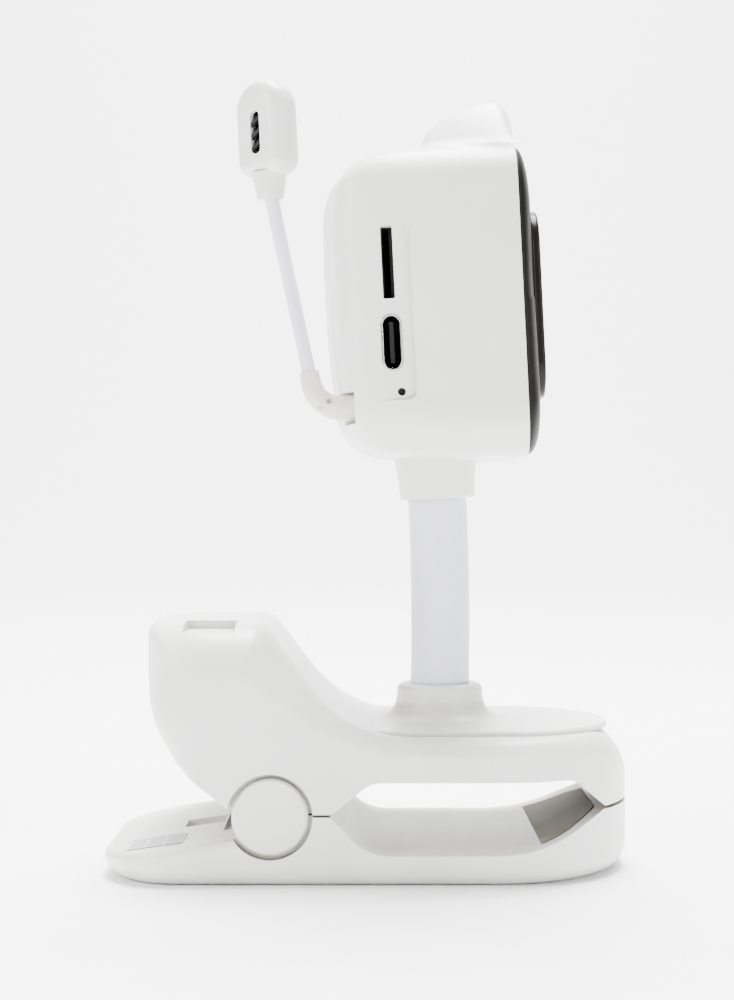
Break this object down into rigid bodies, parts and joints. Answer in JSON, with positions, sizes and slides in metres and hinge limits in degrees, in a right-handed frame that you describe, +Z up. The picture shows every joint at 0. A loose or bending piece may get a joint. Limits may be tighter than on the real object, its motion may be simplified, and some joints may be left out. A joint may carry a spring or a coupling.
{
  "type": "baby monitor camera",
  "caption": "Clip-on baby monitor camera: eared camera head on a bendable gooseneck over a spring clamp that doubles as its stand, with a small sensor boom at the rear.",
  "frame": {"origin": "on the resting surface, under the middle of the clamp", "axes": "+X is the way the lens looks, +Z is up, -Y is the side with the ports"},
  "size_m": [0.0893, 0.056, 0.1324],
  "materials": {
    "shell_white": "fine satin moulded plastic, warm white",
    "neck_silicone": "smooth cool white silicone",
    "relief_rubber": "soft cream moulded relief",
    "panel_black": "satin warm black front",
    "visor_black": "polished infrared-passing black",
    "lens_glass": "coated glass",
    "lens_black": "ribbed matt black",
    "steel": "plain steel",
    "spring_steel": "drawn wire",
    "pad_rubber": "soft grey-beige pad",
    "board_green": "solder mask",
    "component_black": "moulded component",
    "connector_steel": "stamped and plated",
    "label_paper": "blank matt label",
    "lamp_clear": "clear moulded lamp"
  },
  "bodies": {
    "base": {"lower_jaw": "shell_white", "base_plate": "shell_white", "base_screws": "steel", "hinge_pin": "steel", "pivot_cap_near": "shell_white", "pivot_cap_far": "shell_white", "torsion_spring": "spring_steel", "blank_label": "label_paper", "lower_pad": "pad_rubber"},
    "jaw": {"upper_jaw": "shell_white", "neck_mount": "shell_white", "jaw_liner": "shell_white", "liner_screws": "steel", "upper_pad": "pad_rubber", "neck_nut": "steel", "neck_link_1": "steel", "neck_sleeve_1": "neck_silicone"},
    "neck_one": {"neck_link_2": "steel", "neck_sleeve_2": "neck_silicone"},
    "neck_two": {"neck_link_3": "steel", "neck_sleeve_3": "neck_silicone"},
    "neck_three": {"neck_link_4": "steel", "neck_sleeve_4": "neck_silicone"},
    "head": {"neck_link_5": "steel", "neck_sleeve_5": "neck_silicone", "head_shell": "shell_white", "ear_near": "shell_white", "ear_far": "shell_white", "front_panel": "panel_black", "lens_visor": "visor_black", "lens_glass": "lens_glass", "lens_barrel": "lens_black", "lens_holder": "lens_black", "image_sensor": "component_black", "lamp_board": "board_green", "night_lamps": "lamp_clear", "light_sensor": "component_black", "main_board": "board_green", "charge_port": "connector_steel", "port_tongue": "component_black", "card_socket": "component_black", "reset_switch": "component_black", "speaker": "component_black", "microphone": "component_black", "wifi_antenna": "board_green", "board_screws": "steel", "boom_elbow": "relief_rubber", "boom_root": "neck_silicone"},
    "reset": {"reset_button": "component_black"},
    "boom": {"boom_middle": "neck_silicone"},
    "probe": {"boom_top": "neck_silicone", "probe_rear": "shell_white", "probe_front": "shell_white", "probe_vent": "component_black", "probe_sensor": "component_black"}
  },
  "joints": [
    {"name": "jaw_open", "type": "hinge", "parent": "base", "child": "jaw", "pos_m": [-0.0161, 0, 0.0116], "axis": [0, -1, 0], "range_deg": [0, 30], "stiffness_Nm_per_rad": 0.35, "springref_deg": -34.38},
    {"name": "neck_pitch_low", "type": "hinge", "parent": "jaw", "child": "neck_one", "pos_m": [0.01257, 0, 0.0355], "axis": [0, 1, 0], "range_deg": [-18, 18]},
    {"name": "neck_side_low", "type": "hinge", "parent": "neck_one", "child": "neck_two", "pos_m": [0.0126, 0, 0.0435], "axis": [1, 0, 0], "range_deg": [-18, 18]},
    {"name": "neck_pitch_high", "type": "hinge", "parent": "neck_two", "child": "neck_three", "pos_m": [0.01248, 0, 0.0515], "axis": [0, 1, 0], "range_deg": [-18, 18]},
    {"name": "neck_side_high", "type": "hinge", "parent": "neck_three", "child": "head", "pos_m": [0.01223, 0, 0.05949], "axis": [1, 0, 0], "range_deg": [-18, 18]},
    {"name": "boom_pitch", "type": "hinge", "parent": "head", "child": "boom", "pos_m": [-0.01119, -0.019, 0.09051], "axis": [0, 1, 0], "range_deg": [-40, 3]},
    {"name": "boom_side", "type": "hinge", "parent": "boom", "child": "probe", "pos_m": [-0.01362, -0.019, 0.10188], "axis": [1, 0, 0], "range_deg": [-40, 40]},
    {"name": "reset_press", "type": "slide", "parent": "head", "child": "reset", "axis": [0, 1, 0], "range_m": [0, 0.0003], "stiffness_N_per_m": 500, "springref_m": -0.0005}
  ],
  "couplings": [
    {"joint": "neck_pitch_high", "follows": "neck_pitch_low", "ratio": 1},
    {"joint": "neck_side_high", "follows": "neck_side_low", "ratio": 1}
  ]
}
